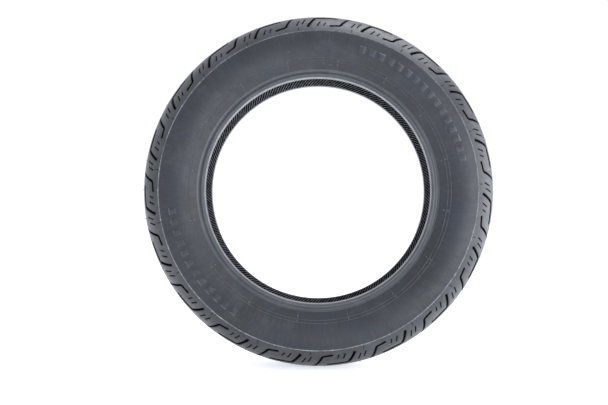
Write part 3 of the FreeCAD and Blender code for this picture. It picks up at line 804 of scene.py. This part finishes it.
def make_liner(material):
    """Inner skin with raised ribs that lean 45 degrees all over its inner face."""
    skin = Skin()
    skin.add(*ribbed_surface(both_halves(liner_half(PLIES + BARRIER + LINER, 16))))
    end = (CORE_INSIDE - PLIES - BARRIER, TOE_TOP)
    toe = (CORE_INSIDE - PLIES - BARRIER - LINER, LINER_END)
    outer = both_halves(liner_half(PLIES + BARRIER, 10)[:-1] + [end, toe])
    skin.lathe(outer, even_angles(LINER_STEPS), closed=False)
    skin.piece("liner_skin", material, ["inner_liner"], 50.0)


# ---------------------------------------------------------------- small moulding details


def flash_profile(around, mixed):
    """Flash section at a clock angle as (distance across, height) points, and its painted-highlight
    weight.
    """
    nub = max(0.0, 1.0 - abs(around % NUB_SPACING - NUB_SPACING / 2) / 0.35)
    height = mixed + 0.7 * nub
    width = 0.8 + 0.4 * nub
    # painted highlight, fainter at the top of the tire and stronger at the bottom
    brighter_below = 0.75 - 0.4 * math.cos(math.radians(around))
    profile = [(-width, -0.3), (-0.2, height), (0.2, height), (width, -0.3)]
    return profile, min(0.3 + 0.6 * mixed + nub, 1.0) * brighter_below


def make_flash(name, side, material):
    """Uneven line of flash along the shoulder ridge, with small nubs and a painted highlight."""
    ridge = ridge_point()
    lean = math.radians(FLASH_LEAN)
    out = (math.sin(lean), math.cos(lean))
    across = (out[1], -out[0])
    runs = FLASH_POINTS // FLASH_RUN
    heights = [RANDOM.uniform(0.15, 0.8) for _ in range(runs)]
    points, painted_light, faces = [], [], []
    for i in range(FLASH_POINTS):
        around = i * 360.0 / FLASH_POINTS
        run, share = i // FLASH_RUN, i / FLASH_RUN % 1
        mixed = heights[run] * (1 - share) + heights[(run + 1) % runs] * share
        profile, weight = flash_profile(around, mixed)
        for shift, up in profile:
            axial = ridge[0] + across[0] * shift + out[0] * up
            radial = ridge[1] + across[1] * shift + out[1] * up
            points.append(place(around, side * axial, radial))
            painted_light.append(weight)
    for i in range(FLASH_POINTS):
        j = (i + 1) % FLASH_POINTS
        for k in range(4):
            quad = (i * 4 + k, i * 4 + (k + 1) % 4, j * 4 + (k + 1) % 4, j * 4 + k)
            faces.append(quad if side > 0 else quad[::-1])
    skin = Skin()
    skin.add(points, faces, painted_light)
    skin.piece(name, material, [], 40.0)


def add_hair(skin, base, direction, length):
    """Thin tapered rubber hair, slightly bent."""
    axis = Vector(direction).normalized()
    side = axis.orthogonal().normalized()
    other = axis.cross(side)
    bend = Vector([RANDOM.uniform(-1, 1) for _ in range(3)]) * length * 0.25
    points, faces = [], []
    for level, (along, thick) in enumerate(((-0.3, 1.0), (0.5, 0.9), (1.0, 0.55))):
        middle = Vector(base) + axis * (length * along) + bend * max(along, 0.0) ** 2
        for i in range(HAIR_SIDES):
            turn = 2 * math.pi * i / HAIR_SIDES
            spoke = side * math.cos(turn) + other * math.sin(turn)
            points.append(tuple(middle + spoke * HAIR_RADIUS * thick))
        if level:
            low, high = (level - 1) * HAIR_SIDES, level * HAIR_SIDES
            for i in range(HAIR_SIDES):
                j = (i + 1) % HAIR_SIDES
                faces.append((low + i, low + j, high + j, high + i))
    faces.append(tuple(range(2 * HAIR_SIDES, 3 * HAIR_SIDES)))
    skin.add(points, faces)


def make_hairs(material):
    """Short vent hairs left by the mould on the tread and the shoulders."""
    skin = Skin()
    for side in (-1, 1):
        for index in range(PITCHES * 2):
            for across in HAIR_ROWS:
                around = PHASE + index * PITCH / 2 + RANDOM.uniform(-2.0, 2.0)
                lean = across + RANDOM.uniform(-3.0, 3.0)
                base = crown(around, lean, 0.0, side)
                above = crown(around, lean, -1.0, side)
                direction = Vector(above) - Vector(base)
                length = RANDOM.uniform(0.5, 2.6) * MM
                add_hair(skin, base, direction, length)
    skin.piece("vent_hairs", material, [], 60.0)


# ---------------------------------------------------------------- materials

TINT = (0.92, 1.0, 1.12)
# PALE colours the scuffs and the painted highlights; the near-black below is painted shade in hollows
PALE = (0.27, 0.29, 0.31)
BLOOM = (0.009, 0.0135, 0.024)
PAINTED_SHADE_BLACK = (0.002, 0.002, 0.002)


def new_material(name):
    """New material with its node tree and its main shader."""
    material = bpy.data.materials.new(name)
    material.use_nodes = True
    return material, material.node_tree, material.node_tree.nodes["Principled BSDF"]


def add_node(tree, kind, **values):
    """New node with input values and settings given by name."""
    node = tree.nodes.new(kind)
    for key, value in values.items():
        if key in node.inputs:
            node.inputs[key].default_value = value
        else:
            setattr(node, key, value)
    return node


def noise(tree, scale, detail=4.0, roughness=0.55):
    """Noise in object space, with the scale given per metre."""
    coords = add_node(tree, "ShaderNodeTexCoord")
    texture = add_node(tree, "ShaderNodeTexNoise", Scale=scale, Detail=detail, Roughness=roughness)
    tree.links.new(coords.outputs["Object"], texture.inputs["Vector"])
    return texture.outputs["Fac"]


def ramp(tree, source, low, high, dark, light):
    """Colour ramp between two colours over part of a value's range."""
    node = add_node(tree, "ShaderNodeValToRGB")
    node.color_ramp.elements[0].position = low
    node.color_ramp.elements[1].position = high
    node.color_ramp.elements[0].color = (*dark, 1.0)
    node.color_ramp.elements[1].color = (*light, 1.0)
    tree.links.new(source, node.inputs["Fac"])
    return node.outputs["Color"]


def spread(tree, source, low, high, first, last):
    """Map part of a value's range to another range."""
    node = add_node(tree, "ShaderNodeMapRange")
    node.inputs["From Min"].default_value = low
    node.inputs["From Max"].default_value = high
    node.inputs["To Min"].default_value = first
    node.inputs["To Max"].default_value = last
    tree.links.new(source, node.inputs["Value"])
    return node.outputs["Result"]


def mix(tree, factor, first, second):
    """Blend two colours by a factor."""
    node = add_node(tree, "ShaderNodeMix", data_type="RGBA")
    tree.links.new(factor, node.inputs["Factor"])
    colours = [socket for socket in node.inputs if socket.type == "RGBA"]
    tree.links.new(first, colours[0])
    tree.links.new(second, colours[1])
    return next(socket for socket in node.outputs if socket.type == "RGBA")


def combine(tree, operation, first, second):
    """Arithmetic on a value and a second value or number."""
    node = add_node(tree, "ShaderNodeMath", operation=operation)
    tree.links.new(first, node.inputs[0])
    if isinstance(second, float):
        node.inputs[1].default_value = second
    else:
        tree.links.new(second, node.inputs[1])
    return node.outputs[0]


def plain_colour(tree, colour):
    node = add_node(tree, "ShaderNodeRGB")
    node.outputs[0].default_value = (*colour, 1.0)
    return node.outputs[0]


def streaks(tree, across, along, detail=3.0):
    """Noise laid out by clock angle and distance from the centre, with a scale for each."""
    coords = add_node(tree, "ShaderNodeTexCoord")
    parts = add_node(tree, "ShaderNodeSeparateXYZ")
    tree.links.new(coords.outputs["Object"], parts.inputs[0])
    angle = combine(tree, "ARCTAN2", parts.outputs["X"], parts.outputs["Z"])
    length = add_node(tree, "ShaderNodeVectorMath", operation="LENGTH")
    tree.links.new(coords.outputs["Object"], length.inputs[0])
    joined = add_node(tree, "ShaderNodeCombineXYZ")
    tree.links.new(combine(tree, "MULTIPLY", angle, across), joined.inputs["X"])
    tree.links.new(combine(tree, "MULTIPLY", length.outputs["Value"], along), joined.inputs["Y"])
    texture = add_node(tree, "ShaderNodeTexNoise", Scale=1.0, Detail=detail, Roughness=0.6)
    tree.links.new(joined.outputs[0], texture.inputs["Vector"])
    return texture.outputs["Fac"]


def bump(tree, shader, heights):
    """Chain of bumps from (height, strength, distance) tuples."""
    normal = None
    for height, strength, distance in heights:
        node = add_node(tree, "ShaderNodeBump", Strength=strength, Distance=distance)
        tree.links.new(height, node.inputs["Height"])
        if normal is not None:
            tree.links.new(normal, node.inputs["Normal"])
        normal = node.outputs["Normal"]
    tree.links.new(normal, shader.inputs["Normal"])


def sidewall_marks(tree, colour, lines):
    """Bluish bloom, fine radial streaks and scuffs over a colour; also the streaks' height."""
    blue = spread(tree, noise(tree, 19.0, 8.0, 0.7), 0.47, 0.62, 0.0, 0.75)
    colour = mix(tree, blue, colour, plain_colour(tree, BLOOM))
    fine = streaks(tree, 420.0, 30.0)
    shine = spread(tree, fine, 0.45, 0.8, 0.0, lines)
    colour = mix(tree, shine, colour, plain_colour(tree, [0.16 * tint for tint in TINT]))
    scuff = combine(tree, "MULTIPLY", streaks(tree, 34.0, 260.0, 5.0), noise(tree, 30.0, 5.0))
    scuffed = spread(tree, scuff, 0.40, 0.5, 0.0, 0.5)
    return mix(tree, scuffed, colour, plain_colour(tree, PALE)), fine


def paint_light_and_shade(tree, colour, painted_light, pale):
    """Painted highlights on edges and painted shade in hollows over a colour, from the painted-light
    weight.
    """
    uneven = spread(tree, noise(tree, 120.0, 5.0, 0.65), 0.35, 0.62, 0.4, 1.3)
    # painted highlight where the weight is above 0
    edge = combine(tree, "MULTIPLY", combine(tree, "MAXIMUM", painted_light, 0.0), uneven)
    colour = mix(tree, edge, colour, plain_colour(tree, pale))
    # painted shade where the weight is below 0
    hollow = spread(tree, painted_light, -1.0, 0.0, 0.92, 0.0)
    return mix(tree, hollow, colour, plain_colour(tree, PAINTED_SHADE_BLACK))


def rubber(name, dark, light, gloss, dust=0.1, lines=0.0, pale=PALE):
    """Black rubber: cloudy colour, dust, optional streaks, painted highlights, painted shade and a fine
    grain.
    """
    material, tree, shader = new_material(name)
    cloud = ramp(tree, noise(tree, 9.0), 0.35, 0.7, dark, light)
    dusty = spread(tree, noise(tree, 26.0, 8.0, 0.7), 0.5, 0.8, 0.0, 0.6)
    colour = mix(tree, dusty, cloud, plain_colour(tree, [dust * tint for tint in TINT]))
    heights = [(noise(tree, 1400.0, 3.0), 0.25, 0.0003), (noise(tree, 90.0), 0.2, 0.0006)]
    if lines:
        colour, fine = sidewall_marks(tree, colour, lines)
        heights.append((fine, 0.35, 0.0004))
    painted_light = add_node(tree, "ShaderNodeAttribute", attribute_name="painted_light").outputs["Fac"]
    tree.links.new(paint_light_and_shade(tree, colour, painted_light, pale), shader.inputs["Base Color"])
    shade = spread(tree, noise(tree, 40.0, 6.0, 0.65), 0.3, 0.75, gloss[0], gloss[1])
    tree.links.new(shade, shader.inputs["Roughness"])
    gleam = spread(tree, painted_light, -1.0, 0.0, 0.12, 0.42)
    tree.links.new(gleam, shader.inputs["Specular IOR Level"])
    bump(tree, shader, heights)
    return material


def cord_ply(name, dark, light, scale):
    """Rubberised cord sheet: straight parallel cords with cloudy gum between."""
    material, tree, shader = new_material(name)
    coords = add_node(tree, "ShaderNodeTexCoord")
    wave = add_node(tree, "ShaderNodeTexWave", Scale=scale, Distortion=0.6, Detail=2.0)
    tree.links.new(coords.outputs["Object"], wave.inputs["Vector"])
    cords = ramp(tree, wave.outputs["Fac"], 0.2, 0.8, dark, light)
    cloudy = ramp(tree, noise(tree, 30.0), 0.3, 0.75, dark, light)
    tree.links.new(mix(tree, noise(tree, 14.0), cords, cloudy), shader.inputs["Base Color"])
    shade = spread(tree, noise(tree, 50.0), 0.3, 0.7, 0.6, 0.85)
    tree.links.new(shade, shader.inputs["Roughness"])
    bump(tree, shader, [(wave.outputs["Fac"], 0.5, 0.0004)])
    return material


def wire_metal(name):
    """Bronze-coated steel wire, darker in patches and slightly uneven."""
    material, tree, shader = new_material(name)
    tone = ramp(tree, noise(tree, 60.0), 0.3, 0.7, (0.30, 0.20, 0.11), (0.62, 0.45, 0.26))
    tree.links.new(tone, shader.inputs["Base Color"])
    shader.inputs["Metallic"].default_value = 1.0
    shade = spread(tree, noise(tree, 300.0), 0.3, 0.7, 0.25, 0.5)
    tree.links.new(shade, shader.inputs["Roughness"])
    bump(tree, shader, [(noise(tree, 1200.0), 0.15, 0.0001)])
    return material


# ---------------------------------------------------------------- inner CAD nodes


def dress_nodes(materials):
    """Give every CAD node that stays visible a material by its record slot."""
    slots = {row["node"]: row["material_slot"] for row in frame["record"]["subparts"]}
    for name, node in frame["nodes"].items():
        node.data.materials.clear()
        node.data.materials.append(materials[slots[name]])


# ---------------------------------------------------------------- floor, light and camera

LIGHT_COLOUR = (0.98, 1.0, 1.04)


def make_floor(bottom):
    """Plain pale floor, slightly glowing so that it stays bright in the tire's shade."""
    mesh = bpy.data.meshes.new("floor")
    size = 12.0
    corners = [(x, y, bottom) for x, y in ((-size, -size), (size, -size), (size, size), (-size, size))]
    mesh.from_pydata(corners, [], [(0, 1, 2, 3)])
    material, tree, shader = new_material("floor_paint")
    tone = ramp(tree, noise(tree, 3.0), 0.3, 0.7, (0.86, 0.86, 0.87), (0.9, 0.9, 0.9))
    tree.links.new(tone, shader.inputs["Base Color"])
    shader.inputs["Roughness"].default_value = 0.7
    shader.inputs["Emission Color"].default_value = (0.97, 1.0, 1.05, 1.0)
    shader.inputs["Emission Strength"].default_value = 0.6
    mesh.materials.append(material)
    floor = bpy.data.objects.new("floor", mesh)
    bpy.context.scene.collection.objects.link(floor)


def add_area(name, location, target, size, power):
    """Square area light that faces a target."""
    light = bpy.data.lights.new(name, "AREA")
    light.shape = "RECTANGLE"
    light.size = size
    light.size_y = size
    light.energy = power
    light.color = LIGHT_COLOUR
    made = bpy.data.objects.new(name, light)
    made.location = location
    made.rotation_euler = (Vector(target) - Vector(location)).to_track_quat("-Z", "Y").to_euler()
    bpy.context.scene.collection.objects.link(made)


def make_light():
    """White studio world, a key light in front and lights beside and above the tread."""
    world = bpy.data.worlds.new("studio")
    bpy.context.scene.world = world
    world.use_nodes = True
    background = world.node_tree.nodes["Background"]
    background.inputs["Color"].default_value = (0.97, 1.0, 1.08, 1.0)
    background.inputs["Strength"].default_value = 1.05
    add_area("key", (1.0, -1.15, -0.1), target=(0.2, 0, 0), size=0.9, power=14.5)
    add_area("rim", (1.4, 0.1, -0.12), target=(0.2, 0, 0), size=1.6, power=17.5)
    add_area("top", (0.5, 0.1, 1.45), target=(0, 0, 0.2), size=1.2, power=16.0)


def make_camera():
    """Camera a little below and left of the axis, looking almost straight along it."""
    camera = bpy.data.cameras.new("camera")
    camera.sensor_width = 36.0
    camera.lens = 45.4
    made = bpy.data.objects.new("camera", camera)
    made.location = (0.003, -1.420, -0.0436)
    heading, rise = math.radians(-1.149), math.radians(0.92)
    level = math.cos(rise)
    look = Vector((math.sin(heading) * level, math.cos(heading) * level, math.sin(rise)))
    made.rotation_euler = look.to_track_quat("-Z", "Y").to_euler()
    bpy.context.scene.collection.objects.link(made)
    bpy.context.scene.camera = made


# ---------------------------------------------------------------- build the scene

MATERIALS = {
    "tread_rubber": rubber(
        "tread_rubber", (0.021, 0.023, 0.026), (0.036, 0.039, 0.044), gloss=(0.34, 0.5), dust=0.09
    ),
    "sidewall_rubber": rubber(
        "sidewall_rubber",
        (0.0095, 0.011, 0.0135),
        (0.018, 0.020, 0.0245),
        gloss=(0.42, 0.56),
        dust=0.05,
        lines=0.16,
    ),
    "cushion_rubber": rubber(
        "cushion_rubber", (0.038, 0.042, 0.048), (0.054, 0.059, 0.066), gloss=(0.34, 0.46)
    ),
    "liner_rubber": rubber(
        "liner_rubber",
        (0.003, 0.003, 0.0035),
        (0.006, 0.006, 0.0065),
        gloss=(0.65, 0.8),
        dust=0.012,
        pale=(0.15, 0.157, 0.17),
    ),
    "base_rubber": rubber(
        "base_rubber", (0.026, 0.025, 0.025), (0.042, 0.04, 0.04), gloss=(0.6, 0.8), dust=0.06
    ),
    "filler_rubber": rubber(
        "filler_rubber", (0.035, 0.033, 0.031), (0.055, 0.052, 0.05), gloss=(0.6, 0.8), dust=0.07
    ),
    "ply_cord": cord_ply("ply_cord", (0.035, 0.028, 0.022), (0.11, 0.09, 0.07), 260.0),
    "belt_cord": cord_ply("belt_cord", (0.045, 0.036, 0.02), (0.17, 0.13, 0.07), 200.0),
    "bead_fabric": cord_ply("bead_fabric", (0.05, 0.045, 0.035), (0.16, 0.145, 0.12), 420.0),
    "bead_wire": wire_metal("bead_wire"),
}

dress_nodes(MATERIALS)
make_tread(MATERIALS["tread_rubber"])
make_sidewall("sidewall_front_skin", -1, MATERIALS["sidewall_rubber"])
make_sidewall("sidewall_back_skin", 1, MATERIALS["sidewall_rubber"])
make_cushion("rim_cushion_front_skin", -1, MATERIALS["cushion_rubber"])
make_cushion("rim_cushion_back_skin", 1, MATERIALS["cushion_rubber"])
make_liner(MATERIALS["liner_rubber"])
make_flash("shoulder_flash_front", -1, MATERIALS["tread_rubber"])
make_flash("shoulder_flash_back", 1, MATERIALS["tread_rubber"])
make_hairs(MATERIALS["tread_rubber"])

make_floor(CAD_BOX[0].z)
make_light()
make_camera()
bpy.context.scene.view_settings.view_transform = "Standard"
